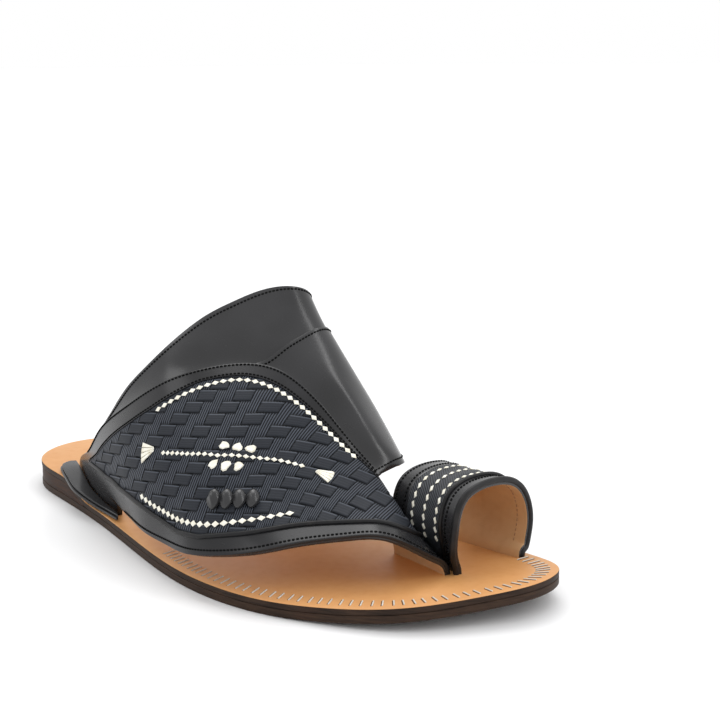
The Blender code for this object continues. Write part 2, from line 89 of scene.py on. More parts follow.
VAMP = {
    "collar": [
        (50, -22, 15), (60, -25, 25), (78, -30.5, 42), (97.5, -32.3, 60.3), (110.5, -28.5, 72.6),
        (119.5, -21.5, 83.2), (126.5, -9, 93.6), (133.5, 4, 100.4), (140.5, 14, 104.6), (148, 24, 105.6),
        (148.5, 33, 102.5), (143, 38, 96.5), (133, 40, 88), (122, 39, 77), (108, 38, 55),
        (95, 36, 32), (84, 32.5, 10), (82, 31.5, 4.5),
    ],
    "seam": [
        (80, -35, 24), (92, -38, 36), (106, -39, 47), (121, -37, 58), (133, -31, 67),
        (143.5, -20, 74.5), (152, -7, 78.5), (158, 4, 82), (160.5, 15, 86), (161.5, 26, 89),
        (159, 34, 87), (152, 38, 82), (143, 40, 77), (132, 41, 69), (118, 40, 50),
        (107, 37, 28), (98, 33.5, 10), (97, 32.5, 4.5),
    ],
    "middle": [
        (88, -38, 22), (101, -41, 33), (116, -42, 44), (132, -40, 53), (146, -34, 60),
        (160, -24, 64), (173, -10, 66), (184, 6, 67), (186, 17, 67), (185, 26, 66.5),
        (181, 34, 64.5), (173, 38.5, 62), (163, 41, 58), (150, 42.5, 50), (137, 41.5, 36),
        (126, 38.5, 22), (118, 34.5, 10), (117, 33.5, 4.5),
    ],
    "front": [
        (94, -40, 20), (108, -44, 31), (124, -46, 41), (142, -43, 50), (158, -36, 53),
        (176, -24, 53), (194, -10, 48), (211.8, 8, 39.3), (212.4, 17, 39.4), (210.2, 26, 39.3),
        (205.5, 33, 38), (196, 38.5, 36.5), (183, 41.5, 34.5), (168, 42.5, 31), (156, 41.5, 25),
        (145, 38.5, 18), (137, 35, 10), (136, 34, 4.5),
    ],
}
VAMP_AT = (0.0, 0.25, 0.58, 1.0)
SEAM = 0.25  # the front band laps over the rear one from here

WING = [
    ((40, -17, 10.9), (60, -26, 7.6), (79, -32, 4.5), (97, -35.5, 4.5)),
    ((41, -17.5, 14), (61, -26.5, 11), (80, -32.5, 8), (98, -36, 7.6)),
    ((61.5, -26.5, 25.5), (76, -32.5, 22), (91, -36.8, 17), (106, -40.3, 13)),
    ((82, -32.8, 41), (96, -39.2, 33.5), (109, -43.2, 23.5), (123, -46.5, 13)),
    ((109, -36, 57.5), (121, -43.8, 45.5), (132, -49.8, 29.5), (143, -53, 13)),
    ((132.5, -28.8, 71.8), (147, -40.3, 56.5), (155, -51, 37), (163, -56.5, 13.5)),
    ((152, -8, 77.5), (166, -28, 61), (176, -47, 42), (186, -60, 16.5)),
    ((169, 1.5, 74), (182, -20, 54), (192, -40, 37), (208, -53, 21.5)),
    ((187, 5.5, 62), (198, -12, 46.5), (208, -28, 34.5), (221, -41, 25.5)),
    ((203, 6.5, 49.5), (214, -5, 40), (225, -17, 33), (234.5, -26.5, 27.8)),
    ((213, 8.5, 40), (226, 2, 34), (236, -8, 30.5), (245, -17, 27.8)),
    ((217, 12, 26), (229, 9, 24.5), (241, 4.5, 21), (251.5, -1, 18)),
    ((217, 16.8, 10), (229, 14.8, 10), (240.5, 12.1, 9.5), (252, 8.4, 10)),
    ((217, 17.2, 4.5), (229, 15.3, 4.5), (240.5, 12.8, 5), (252, 9.5, 5.5)),
]
WING_CROSS = (0.0, 0.33, 0.67, 1.0)

# Woven panel of the wing: place along the wing, upper edge, lower edge
PANEL = [
    (0.085, 0.15, 0.20), (0.11, 0.19, 0.36), (0.145, 0.22, 0.54), (0.21, 0.21, 0.69),
    (0.30, 0.18, 0.78), (0.365, 0.15, 0.85), (0.42, 0.11, 0.895), (0.455, 0.085, 0.917),
    (0.52, 0.075, 0.925), (0.60, 0.075, 0.895), (0.70, 0.08, 0.85), (0.80, 0.085, 0.805),
    (0.86, 0.09, 0.76), (0.89, 0.14, 0.72), (0.915, 0.28, 0.64), (0.93, 0.40, 0.56),
]
RING_PANEL = (0.24, 0.78)  # rear edge, front edge
RIB_PITCH = (1.25, 1.6)  # of the ring's ribs, over the toe and across
THONG_LEAN = 0.6  # of the ring's thongs
THONG_PITCH = 3.8
RING = [
    # x_lat, x_top, x_med, y_lat, y_wide_lat, y_top, z_top, y_wide_med, y_med
    (217.0, 219.5, 216.0, 16.0, 11.0, 30.5, 41.2, 51.5, 46.5),
    (229.5, 232.5, 231.0, 14.0, 9.5, 29.5, 41.8, 50.5, 45.5),
    (242.0, 245.5, 246.5, 11.5, 7.5, 27.5, 42.3, 49.5, 43.5),
    (254.5, 258.5, 261.0, 9.0, 5.5, 26.0, 42.8, 47.5, 41.5),
]

TAB = [
    ((38, -17.4, 14.9), (35.8, -20.0, 14.9)),
    ((40.5, -18.4, 14.9), (37, -24.4, 14.9)),
    ((45, -20.3, 14.9), (43, -28.9, 14.8)),
    ((54, -24.2, 14.0), (54, -33.3, 13.9)),
    ((64, -28.3, 12.2), (64, -36.8, 12.5)),
    ((74, -31.7, 10.7), (74, -38.4, 11.2)),
    ((84, -34.2, 9.6), (84, -39.0, 9.8)),
    ((91.5, -36.2, 9.0), (91.5, -39.2, 9.0)),
    ((98.5, -37.9, 8.9), (98.5, -40.2, 8.9)),
    ((105, -40.3, 8.9), (105.2, -41.3, 8.9)),
]

# Camera, from the fit of the sole and the straps
CAMERA = (589.3, -365.1, 199.1)
LOOK = (-0.702, 0.681, -0.210)
ROLL = math.radians(-0.48)
LENS = 70.2

# Weave of the wing: its own directions on the panel, in millimetres
WEAVE_ALONG = np.array((0.696, 0.718, 0.0))
WEAVE_UP = np.array((-0.150, 0.146, 0.978))
WARP = 3.7  # a bundle of ribs
WEFT = 4.6  # a flat strip
RIBS = 4  # in a bundle
BEND_FROM = 108.0  # from here on the strips turn down towards the toe
BEND = 0.0100
SLANT = (0.36, 0.92)  # lean of the ribs at the rear and at the front
WEAVE_MIDDLE = 15.0


def spline(knots, values, at):
    """Natural cubic curve through the rows of values."""
    knots = np.asarray(knots, float)
    values = np.asarray(values, float)
    at = np.atleast_1d(np.asarray(at, float))
    count = len(knots)
    step = np.diff(knots)
    rate = np.diff(values, axis=0) / step[:, None]
    matrix = np.eye(count)
    right = np.zeros_like(values)
    for i in range(1, count - 1):
        matrix[i, i - 1 : i + 2] = step[i - 1], 2 * (step[i - 1] + step[i]), step[i]
        right[i] = 6 * (rate[i] - rate[i - 1])
    bend = np.linalg.solve(matrix, right)
    k = np.clip(np.searchsorted(knots, at, side="right") - 1, 0, count - 2)
    h = step[k][:, None]
    a = (knots[k + 1] - at)[:, None]
    b = (at - knots[k])[:, None]
    return (
        (bend[k] * a**3 + bend[k + 1] * b**3) / (6 * h)
        + (values[k] / h - bend[k] * h / 6) * a
        + (values[k + 1] / h - bend[k + 1] * h / 6) * b
    )


def run_length(points):
    """Length along a line up to each of its points."""
    return np.r_[0, np.cumsum(np.linalg.norm(np.diff(points, axis=0), axis=1))]


def chord(points):
    """Share of the length at each point of a line."""
    run = run_length(points)
    return run / run[-1]


def smooth(low, high, x):
    """0 below low, 1 above high, smooth between."""
    part = np.clip((np.asarray(x, float) - low) / (high - low), 0, 1)
    return part * part * (3 - 2 * part)


def footbed_top(x):
    """Height of the footbed above the ground."""
    x = np.asarray(x, float)
    spring = TOE_SPRING * (np.maximum(x / LENGTH - SPRING_START, 0) / (1 - SPRING_START)) ** 2
    return OUTSOLE + SEAT + FOOTBED + spring + HEEL_RISE * (1 - smooth(*RAMP, x))


def foot(points, down):
    """Points of a leg moved to a height inside the footbed (down) or just above it."""
    points = np.array(points, float)
    lift = 0.45 - FOOTBED if down else 2.0
    points[..., 2] = footbed_top(points[..., 0]) + lift
    return points


def loft(lines, at, u, v):
    """Points of a surface through lines: u along them, v from the first line to the last."""
    knots = np.mean([chord(line) for line in lines], axis=0)
    rows = np.array([spline(knots, line, u) for line in lines])
    flat = rows.reshape(len(lines), -1)
    return spline(at, flat, v).reshape(len(v), len(u), 3).transpose(1, 0, 2)


def vamp_surface(u, v):
    """Outer face of the vamp: u across the foot, v from the collar to the front edge."""
    lines = np.array([VAMP[name] for name in VAMP], float)
    lines[:, -1] = foot(lines[:, -1], True)
    return loft(lines, VAMP_AT, u, v)


def wing_surface(s, t):
    """Outer face of the wing: s from the heel slot to the toe slot, t from border to edge."""
    rows = np.array(WING, float)
    rows[[0, -1]] = foot(rows[[0, -1]], True)
    rows[[1, -2]] = foot(rows[[1, -2]], False)
    return loft(rows.transpose(1, 0, 2), WING_CROSS, s, t)


def ring_surface(s, t):
    """Outer face of the toe ring: s over the toe from slot to slot, t from rear to front."""
    rows = spline(np.linspace(0, 1, len(RING)), RING, t)
    lines = []
    for x_lat, x_top, x_med, y_lat, y_wide_lat, y_top, z_top, y_wide_med, y_med in rows:
        arch = [
            (x_lat, y_lat, 4),
            (x_lat, y_lat - 0.4, 8),
            (0.75 * x_lat + 0.25 * x_top, 0.25 * y_lat + 0.75 * y_wide_lat, 15),
            (0.5 * (x_lat + x_top), y_wide_lat, 0.55 * z_top),
            (0.25 * x_lat + 0.75 * x_top, y_wide_lat + 0.20 * (y_top - y_wide_lat), 0.90 * z_top),
            (x_top, y_top, z_top),
            (0.25 * x_med + 0.75 * x_top, y_wide_med - 0.24 * (y_wide_med - y_top), 0.86 * z_top),
            (0.5 * (x_med + x_top), y_wide_med, 0.50 * z_top),
            (0.75 * x_med + 0.25 * x_top, 0.35 * y_med + 0.65 * y_wide_med, 15),
            (0.9 * x_med + 0.1 * x_top, 0.72 * y_med + 0.28 * y_wide_med, 11.5),
            (x_med, y_med + 0.15, 8),
            (x_med, y_med, 4),
        ]
        arch = np.array(arch)
        arch[[0, -1]] = foot(arch[[0, -1]], True)
        arch[[1, -2]] = foot(arch[[1, -2]], False)
        lines.append(spline(chord(arch), arch, s))
    return np.array(lines).transpose(1, 0, 2)


def normals(grid):
    """Unit normals of a grid of points, to its upper side."""
    along = np.gradient(grid, axis=0)
    across = np.gradient(grid, axis=1)
    cross = np.cross(along, across)
    cross /= np.linalg.norm(cross, axis=2, keepdims=True)
    return cross if cross[..., 2].mean() > 0 else -cross


def sheet(surface, s, t):
    """Points of a surface and its unit normals; t is a row of places, or one row for each s."""
    d = 0.006
    points, normal = [], []
    for place, row in zip(s, np.broadcast_to(t, (len(s), np.shape(t)[-1]))):
        span = surface(np.clip([place - d, place, place + d], 0, 1), row)
        before = surface(np.array([place]), np.clip(row - d, 0, 1))[0]
        after = surface(np.array([place]), np.clip(row + d, 0, 1))[0]
        cross = np.cross(span[2] - span[0], after - before)
        points.append(span[1])
        normal.append(cross / np.linalg.norm(cross, axis=1, keepdims=True))
    points, normal = np.array(points), np.array(normal)
    return points, normal if normal[..., 2].mean() > 0 else -normal


def line_on(surface, s, t):
    """Points and normals of a line on a surface, at t for each s."""
    line, out = sheet(surface, s, np.broadcast_to(t, len(s))[:, None])
    return line[:, 0], out[:, 0]


def seat_on_wing(grid):
    """Moves the vamp's outer face to lie inside the wing's wall, and just under its free edge."""
    s, t = np.linspace(0, 1, 121), np.linspace(0, 1, 49)
    wing = wing_surface(s, t)
    out = normals(wing)
    flat, flat_out = wing.reshape(-1, 3), out.reshape(-1, 3)
    moved = grid.copy()
    for index in np.ndindex(grid.shape[:2]):
        point = grid[index]
        near = np.argmin(((flat - point) ** 2).sum(axis=1))
        i, j = divmod(near, len(t))
        gap = point - flat[near]
        height = gap @ flat_out[near]
        aside = np.linalg.norm(gap - height * flat_out[near])
        free = smooth(0.50, 0.58, s[i]) * (1 - smooth(0.04, 0.22, t[j]))
        depth = WING_WALL - 0.62 + 2.1 * free
        share = np.exp(-((max(aside - 2.5, 0) / 7.0) ** 2)) * smooth(0.02, 0.10, s[i])
        share *= 1 - smooth(15.0, 22.0, abs(depth + height))
        moved[index] = point + (-depth - height) * share * flat_out[near]
    return moved


# Modelling


def metres(points):
    return (np.asarray(points, float) - ORIGIN) * MM


def to_frame(point):
    return Vector(metres(point))


def deselect_all():
    bpy.ops.object.select_all(action="DESELECT")


def activate(piece):
    deselect_all()
    piece.select_set(True)
    bpy.context.view_layer.objects.active = piece


def in_edit_mode(piece, *steps):
    """Runs operators on the whole of a piece in edit mode."""
    activate(piece)
    bpy.ops.object.mode_set(mode="EDIT")
    bpy.ops.mesh.select_all(action="SELECT")
    for step in steps:
        step()
    bpy.ops.object.mode_set(mode="OBJECT")


def apply(piece, kind, **settings):
    """Adds a modifier to a piece and applies it."""
    modifier = piece.modifiers.new(kind.lower(), kind)
    for name, value in settings.items():
        setattr(modifier, name, value)
    activate(piece)
    bpy.ops.object.modifier_apply(modifier=modifier.name)


def dress(piece, slot, *materials, angle=None):
    """Gives a piece its materials and its body, and smooth shading up to an angle."""
    if angle:
        smooth_shade(piece, angle)
    piece.data.materials.clear()
    for material in materials:
        piece.data.materials.append(material)
    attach(piece, "root")
    return piece


def smooth_shade(piece, angle=40):
    activate(piece)
    bpy.ops.object.shade_smooth_by_angle(angle=math.radians(angle))


def points_of(piece):
    """Where a piece's points are, in metres."""
    points = np.empty(len(piece.data.vertices) * 3)
    piece.data.vertices.foreach_get("co", points)
    return points.reshape(-1, 3)


def place_points(piece, points):
    """Moves a piece's points to new places, in metres."""
    piece.data.vertices.foreach_set("co", np.asarray(points).ravel())
    piece.data.update()


def grid_sheet(name, points, out, uv=None):
    """A sheet on a grid of points; out says which way its outer side faces."""
    rows, columns = points.shape[:2]
    deselect_all()
    bpy.ops.mesh.primitive_grid_add(x_subdivisions=columns - 1, y_subdivisions=rows - 1)
    piece = bpy.context.active_object
    piece.name = name
    mesh = piece.data
    place_points(piece, metres(points))
    first = mesh.polygons[len(mesh.polygons) // 2]
    towards = out.reshape(-1, 3)[first.vertices[0]]
    if first.normal @ Vector(towards) < 0:
        in_edit_mode(piece, bpy.ops.mesh.flip_normals)
    if uv is not None:
        corner = np.empty(len(mesh.loops), int)
        mesh.loops.foreach_get("vertex_index", corner)
        mesh.uv_layers[0].data.foreach_set("uv", uv.reshape(-1, 2)[corner].ravel())
    return piece


def thicken(piece, thickness, inside=0):
    """Gives a sheet its wall, to its inner side; inside says which material that side has."""
    apply(piece, "SOLIDIFY", thickness=thickness * MM, offset=-1, material_offset=inside)


def round_edges(piece, width, segments=2, angle=55):
    limit = {"limit_method": "ANGLE", "angle_limit": math.radians(angle)}
    apply(piece, "BEVEL", width=width * MM, segments=segments, **limit)


def finish_wall(piece, thickness, slot, *materials, edge=0, angle=40):
    """Dresses a sheet and gives it its wall and eased rims; a second material is its lining."""
    dress(piece, slot, *materials)
    thicken(piece, thickness, inside=len(materials) - 1)
    if edge:
        round_edges(piece, edge)
    smooth_shade(piece, angle)


def delete_faces(piece, wanted):
    """Removes the faces whose number is wanted."""
    activate(piece)
    bpy.ops.object.mode_set(mode="EDIT")
    bpy.ops.mesh.select_all(action="DESELECT")
    bpy.ops.mesh.select_mode(type="FACE")
    bpy.ops.object.mode_set(mode="OBJECT")
    piece.data.polygons.foreach_set("select", np.asarray(wanted, bool))
    bpy.ops.object.mode_set(mode="EDIT")
    bpy.ops.mesh.delete(type="FACE")
    bpy.ops.object.mode_set(mode="OBJECT")


def joined(name, pieces):
    deselect_all()
    for piece in pieces:
        piece.select_set(True)
    bpy.context.view_layer.objects.active = pieces[0]
    bpy.ops.object.join()
    pieces[0].name = name
    return pieces[0]


def copies(name, model, places):
    """One piece made of copies of a model, one at each place, and the model is removed."""
    made = []
    for place in places:
        copy = model.copy()
        copy.data = model.data.copy()
        copy.data.transform(place)
        bpy.context.scene.collection.objects.link(copy)
        made.append(copy)
    bpy.data.objects.remove(model)
    return joined(name, made)


def seat_matrix(point, along, out):
    """Place of a small piece: its x along a line, its z out of the surface."""
    x = Vector(along).normalized()
    z = Vector(out).normalized()
    y = z.cross(x).normalized()
    z = x.cross(y)
    turn = Matrix((x, y, z)).transposed().to_4x4()
    return Matrix.Translation(to_frame(point)) @ turn


def along_line(line, out, pitch):
    """Places at an even pitch along a line of points with normals."""
    run = run_length(line)
    count = max(int(run[-1] / pitch), 1)
    at = (np.arange(count) + 0.5) * run[-1] / count

    def read(table, places):
        return np.array([np.interp(places, run, table[:, k]) for k in range(3)]).T

    way = read(line, at + 0.3) - read(line, at - 0.3)
    return [seat_matrix(*seat) for seat in zip(read(line, at), way, read(out, at))]


def cord(name, line, radius, sides=8):
    """A round cord along a line of points, with closed ends."""
    curve = bpy.data.curves.new(name, "CURVE")
    curve.dimensions = "3D"
    spline_points = curve.splines.new("POLY")
    spline_points.points.add(len(line) - 1)
    for target, point in zip(spline_points.points, metres(line)):
        target.co = (*point, 1)
    curve.bevel_depth = radius * MM
    curve.bevel_resolution = max(sides // 4 - 1, 1)
    curve.use_fill_caps = True
    piece = bpy.data.objects.new(name, curve)
    bpy.context.scene.collection.objects.link(piece)
    activate(piece)
    bpy.ops.object.convert(target="MESH")
    return bpy.context.active_object


def stitch_model(length, radius, ease):
    """One stitch: a short run of thread, its ends drawn down."""
    deselect_all()
    bpy.ops.mesh.primitive_cylinder_add(
        vertices=6, radius=radius * MM, depth=length * MM, rotation=(0, math.pi / 2, 0)
    )
    model = bpy.context.active_object
    bpy.ops.object.transform_apply(location=False, rotation=True, scale=False)
    round_edges(model, ease, 1, 50)
    return model


# Finishes


class Value:
    """A socket in a shader, with arithmetic."""

    def __init__(self, shader, socket):
        self.shader = shader
        self.socket = socket

    def math(self, operation, *others):
        node = self.shader.node("ShaderNodeMath", {"operation": operation}, [self, *others])
        return Value(self.shader, node.outputs[0])

    def __add__(self, other):
        return self.math("ADD", other)

    __radd__ = __add__

    def __mul__(self, other):
        return self.math("MULTIPLY", other)

    __rmul__ = __mul__

    def __sub__(self, other):
        return self.math("SUBTRACT", other)

    def __rsub__(self, other):
        return (self * -1) + other

    def __truediv__(self, other):
        return self.math("DIVIDE", other)

    def __mod__(self, other):
        return self.math("FLOORED_MODULO", other)

    def __lt__(self, other):
        return self.math("LESS_THAN", other)

    def floor(self):
        return self.math("FLOOR")

    def share(self):
        return self.math("FRACT")

    def sine(self):
        return self.math("SINE")

    def size(self):
        return self.math("ABSOLUTE")

    def step(self, low, high):
        """0 below low, 1 above high, smooth between."""
        node = self.shader.node(
            "ShaderNodeMapRange",
            {"interpolation_type": "SMOOTHSTEP"},
            {"Value": self, "From Min": low, "From Max": high},
        )
        return Value(self.shader, node.outputs[0])


class Shader:
    """A material with a Principled shader, and the nodes that feed it."""

    def __init__(self, name, **constants):
        self.material = bpy.data.materials.new(name)
        self.material.use_nodes = True
        self.tree = self.material.node_tree
        self.surface = self.tree.nodes["Principled BSDF"]
        for key, value in constants.items():
            self.surface.inputs[key.replace("_", " ")].default_value = value
        self.place = self.node("ShaderNodeTexCoord").outputs["Object"]

    def node(self, kind, settings=None, inputs=None):
        made = self.tree.nodes.new(kind)
        for key, value in (settings or {}).items():
            setattr(made, key, value)
        pairs = inputs.items() if isinstance(inputs, dict) else enumerate(inputs or [])
        for key, value in pairs:
            self.link(value, made.inputs[key])
        return made

    def link(self, value, socket):
        if isinstance(value, Value):
            value = value.socket
        if isinstance(value, bpy.types.NodeSocket):
            self.tree.links.new(value, socket)
        else:
            socket.default_value = value

    def noise(self, scale, detail=3.0, roughness=0.5, stretch=None):
        """Noise of a scale per metre, stretched along the axes if wanted."""
        where = self.place
        if stretch:
            where = self.node("ShaderNodeMapping", inputs={"Vector": where, "Scale": stretch}).outputs[0]
        made = self.node(
            "ShaderNodeTexNoise",
            inputs={"Vector": where, "Scale": scale, "Detail": detail, "Roughness": roughness},
        )
        return Value(self, made.outputs["Fac"])

    def cells(self, scale):
        made = self.node("ShaderNodeTexVoronoi", inputs={"Vector": self.place, "Scale": scale})
        return Value(self, made.outputs["Distance"])

    def axis(self, which, source):
        made = self.node("ShaderNodeSeparateXYZ", inputs=[source])
        return Value(self, made.outputs[which])

    def mix(self, share, one, two):
        """A colour between two others."""
        made = self.node("ShaderNodeMix", {"data_type": "RGBA"})
        self.link(share, made.inputs[0])
        for colour, socket in ((one, made.inputs[6]), (two, made.inputs[7])):
            self.link((*colour, 1) if isinstance(colour, tuple) else colour, socket)
        return made.outputs[2]

    def feed(self, name, value):
        self.link(value, self.surface.inputs[name])

    def bump(self, height, distance, strength=1.0):
        made = self.node(
            "ShaderNodeBump",
            inputs={"Height": height, "Distance": distance * MM, "Strength": strength},
        )
        self.link(made.outputs[0], self.surface.inputs["Normal"])


def polished_leather(name, coat, shine):
    """Black calf, waxed: a soft gloss, a faint grain and fine scuffs."""
    shader = Shader(name, Coat_Weight=coat, Coat_Roughness=0.20, Specular_IOR_Level=shine)
    cloud = shader.noise(35, 2)
    grain = shader.cells(1900)
    colour = shader.mix(cloud.step(0.3, 0.75), (0.012, 0.012, 0.013), (0.022, 0.022, 0.024))
    shader.feed("Base Color", colour)
    scuff = shader.noise(400, 4, 0.6, (0.3, 1.0, 1.0))
    shader.feed("Roughness", 0.22 + cloud * 0.06 + scuff.step(0.55, 0.8) * 0.08)
    shader.bump(grain + shader.noise(90, 2) * 2, 0.02, 0.2)
    return shader.material


def edge_paint():
    shader = Shader("edge_paint", Coat_Weight=0.1, Coat_Roughness=0.25, Specular_IOR_Level=0.25)
    wear = shader.noise(260, 3)
    shader.feed("Base Color", shader.mix(wear.step(0.45, 0.8), (0.005, 0.005, 0.006), (0.014, 0.013, 0.013)))
    shader.feed("Roughness", 0.42 + wear * 0.15)
    shader.bump(wear, 0.08, 0.4)
    return shader.material


def woven_leather():
    """Navy-black strips over bundles of ribs, with painted shade and painted highlights; the weave lies in
    the piece's own map.
    """
    shader = Shader("woven_leather", Specular_IOR_Level=0.15, Coat_Roughness=0.35)
    flat = shader.node("ShaderNodeUVMap").outputs[0]
    across, up = shader.axis(0, flat), shader.axis(1, flat)
    lane = (across - up.floor()) % 4
    strip = lane < 2
    end = lane / 2
    side = up.share()
    sides = (0.5 - (side - 0.5).size()).step(0.0, 0.09)
    ends = (0.5 - (end - 0.5).size()).step(0.0, 0.05)
    lines = (side * 31.4 + shader.noise(120, 2) * 3).sine() * 0.5 + 0.5
    # painted highlight: a lighter line along the top edge of each strip
    painted_top_highlight = (side - 0.88).size().step(0.08, 0.02)
    rib = (across * RIBS).share()
    ridge = 1 - ((rib - 0.5) * 2).size()
    ridge = ridge.step(0.15, 0.85)
    rise = (up - across.floor()) % 4
    crest = (0.5 - ((rise - 1) / 2 - 0.5).size()).step(0.0, 0.10)
    # strips falls to 0 at the sides and ends of each strip; in the colour this is painted shade
    strips = sides * ends
    # ribs is highest on a ridge and where it arches over a strip; in the colour this is painted highlight,
    # with painted shade in the grooves and where the ribs dip
    ribs = ridge * (crest * 0.5 + 0.5)
    height = strip * (strips + lines * 0.06) + (1 - strip) * ribs * 0.75
    # colour: the strips' own tone and fine lines, with the painted shade and painted highlights above mixed
    # in
    tone_and_painted_light = strip * (strips * (0.22 + lines * 0.07 + painted_top_highlight * 0.55)) + (1 - strip) * (ribs * 0.95)
    cloud = shader.noise(60, 2)
    colour = shader.mix(tone_and_painted_light, (0.0018, 0.0021, 0.0028), (0.077, 0.088, 0.112))
    colour = shader.mix(cloud.step(0.3, 0.8) * 0.25, colour, (0.010, 0.012, 0.018))
    shader.feed("Base Color", colour)
    shader.feed("Coat Weight", tone_and_painted_light * 0.15)
    shader.feed("Roughness", 0.5 + cloud * 0.12)
    shader.bump(height, 0.6, 0.8)
    return shader.material


def cream_leather():
    shader = Shader("cream_thong", Coat_Weight=0.05)
    cloud = shader.noise(500, 2)
    shader.feed("Base Color", shader.mix(cloud.step(0.35, 0.8), (0.93, 0.91, 0.81), (0.80, 0.75, 0.60)))
    shader.feed("Roughness", 0.5 + cloud * 0.15)
    shader.bump(shader.noise(1500, 2), 0.1, 0.4)
    return shader.material


def tan_leather(name, light, dark, roughness=0.5):
    """Vegetable-tanned leather: warm, with soft clouds and fine pores."""
    shader = Shader(name, Coat_Weight=0.04, Coat_Roughness=0.4)
    cloud = shader.noise(22, 4, 0.6)
    fine = shader.noise(300, 3)
    share = cloud.step(0.3, 0.75) * 0.55 + fine.step(0.4, 0.8) * 0.2
    shader.feed("Base Color", shader.mix(share, light, dark))
    shader.feed("Roughness", roughness + fine * 0.15)
    shader.bump(shader.cells(1400) + shader.noise(150, 2), 0.06, 0.35)
    return shader.material


def sole_edge(name, light, dark):
    """Stacked leather edge: stained, burnished, with fibres along it."""
    shader = Shader(name, Coat_Weight=0.02, Coat_Roughness=0.35, Specular_IOR_Level=0.12)
    fibre = shader.noise(90, 5, 0.65, (1.0, 1.0, 14.0))
    patch = shader.noise(28, 3)
    colour = shader.mix(fibre.step(0.3, 0.75), dark, light)
    shader.feed("Base Color", shader.mix(patch.step(0.55, 0.8) * 0.35, colour, (0.075, 0.028, 0.018)))
    shader.feed("Roughness", 0.42 + fibre * 0.22)
    shader.bump(fibre, 0.15, 0.4)
    return shader.material


def thread(name, light, dark, shine=0.5):
    shader = Shader(name, Specular_IOR_Level=shine)
    twist = shader.noise(900, 2)
    shader.feed("Base Color", shader.mix(twist, light, dark))
    shader.feed("Roughness", 0.6 + twist * 0.2)
    shader.bump(twist, 0.08, 0.5)
    return shader.material


def ribbed_leather():
    """Navy-black ribs, slanted over the toe, with painted highlights on their ridges and painted shade in
    the grooves between them.
    """
    shader = Shader("ribbed_leather", Coat_Weight=0.08, Coat_Roughness=0.4)
    flat = shader.node("ShaderNodeUVMap").outputs[0]
    across, up = shader.axis(0, flat), shader.axis(1, flat)
    rib = (across + up).share()
    ridge = (1 - ((rib - 0.5) * 2).size()).step(0.05, 0.95)
    cloud = shader.noise(70, 2)
    # painted highlight on each ridge, painted shade in the grooves between the ribs
    shader.feed("Base Color", shader.mix(ridge * 0.9, (0.006, 0.007, 0.009), (0.032, 0.038, 0.050)))
    shader.feed("Roughness", 0.50 + cloud * 0.12)
    shader.bump(ridge, 0.3, 0.8)
    return shader.material


# Sole


def outline_edges(count):
    """Stations along the sole, with the outline's y on the lateral and the medial side."""
    loop = np.array(OUTLINE + OUTLINE[:1], float)
    wrap = np.concatenate([loop[-4:-1], loop, loop[1:4]])
    knots = run_length(wrap)
    return spline(knots, wrap, np.linspace(knots[3], knots[-4], count + 1))[:-1]


def rim_directions(rim):
    """Unit directions along a closed outline, and across it to the left."""
    tangent = np.roll(rim, -1, axis=0) - np.roll(rim, 1, axis=0)
    tangent /= np.linalg.norm(tangent, axis=1, keepdims=True)
    return tangent, np.c_[-tangent[:, 1], tangent[:, 0]]


def sole_rise(x):
    """How far the toe spring lifts the sole."""
    return footbed_top(x) - footbed_top(100.0) - HEEL_RISE * (1 - smooth(*RAMP, x))


def sole_slab(name, thickness, ease, stretch, inset=0.0):
    """A layer of the sole: the outline filled, given its thickness, its rims eased, then bent.

    stretch gives the heights of its underside and its top at x.
    """
    rim = outline_edges(420)
    deselect_all()
    bpy.ops.mesh.primitive_circle_add(vertices=len(rim), fill_type="NGON")
    piece = bpy.context.active_object
    piece.name = name
    turn = 1 if np.cross(rim, np.roll(rim, -1, axis=0)).sum() > 0 else -1
    rim = rim + turn * inset * rim_directions(rim)[1]
    place_points(piece, metres(np.c_[rim, np.zeros(len(rim))]))
    lift = {"value": (0, 0, thickness * MM)}
    in_edit_mode(
        piece,
        lambda: bpy.ops.mesh.extrude_region_move(TRANSFORM_OT_translate=lift),
        lambda: bpy.ops.mesh.select_all(action="SELECT"),
        lambda: bpy.ops.mesh.normals_make_consistent(inside=False),
    )
    round_edges(piece, ease, 3, 60)
    for x in np.linspace(3, LENGTH - 3, 96):
        in_edit_mode(
            piece,
            lambda: bpy.ops.mesh.bisect(plane_co=to_frame((x, 0, 0)), plane_no=(1, 0, 0)),
        )
    points = points_of(piece)
    low, high = stretch(points[:, 0] / MM + ORIGIN[0])
    share = points[:, 2] / (thickness * MM)
    points[:, 2] = (low + (high - low) * share) * MM
    place_points(piece, points)
    smooth_shade(piece, 35)
    return piece


def paint_rim(piece, above=0.6):
    """Gives the faces that aren't on top the second material."""
    for face in piece.data.polygons:
        face.material_index = 0 if face.normal.z > above else 1


def build_sole(finish):
    def outsole_heights(x):
        heel_round = 1.6 * (1 - smooth(0, 14, x)) ** 2
        return sole_rise(x) + heel_round, sole_rise(x) + OUTSOLE + SEAT

    def lift_heights(x):
        low = OUTSOLE + SEAT + sole_rise(x)
        return low, low + np.maximum(HEEL_RISE * (1 - smooth(*RAMP, x)), 0.02)

    def footbed_heights(x):
        top = footbed_top(x)
        return top - FOOTBED, top

    outsole = sole_slab("outsole_layer", OUTSOLE, 0.45, outsole_heights)
    dress(outsole, "outsole_leather", finish["outsole_edge"])
    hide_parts("outsole")

    lift = sole_slab("heel_stack", HEEL_RISE, 0.3, lift_heights, 0.25)
    front = to_frame((RAMP[1] - 6, 0, 0))
    in_edit_mode(
        lift,
        lambda: bpy.ops.mesh.bisect(
            plane_co=front, plane_no=(1, 0, 0), clear_outer=True, use_fill=True
        ),
    )
    smooth_shade(lift, 35)
    dress(lift, "heel_leather", finish["heel_edge"])
    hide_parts("heel_lift")

    footbed = sole_slab("footbed_leather", FOOTBED, 0.5, footbed_heights)
    dress(footbed, "footbed_leather", finish["footbed"], finish["footbed_edge"])
    paint_rim(footbed)
    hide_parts("footbed")
    return footbed


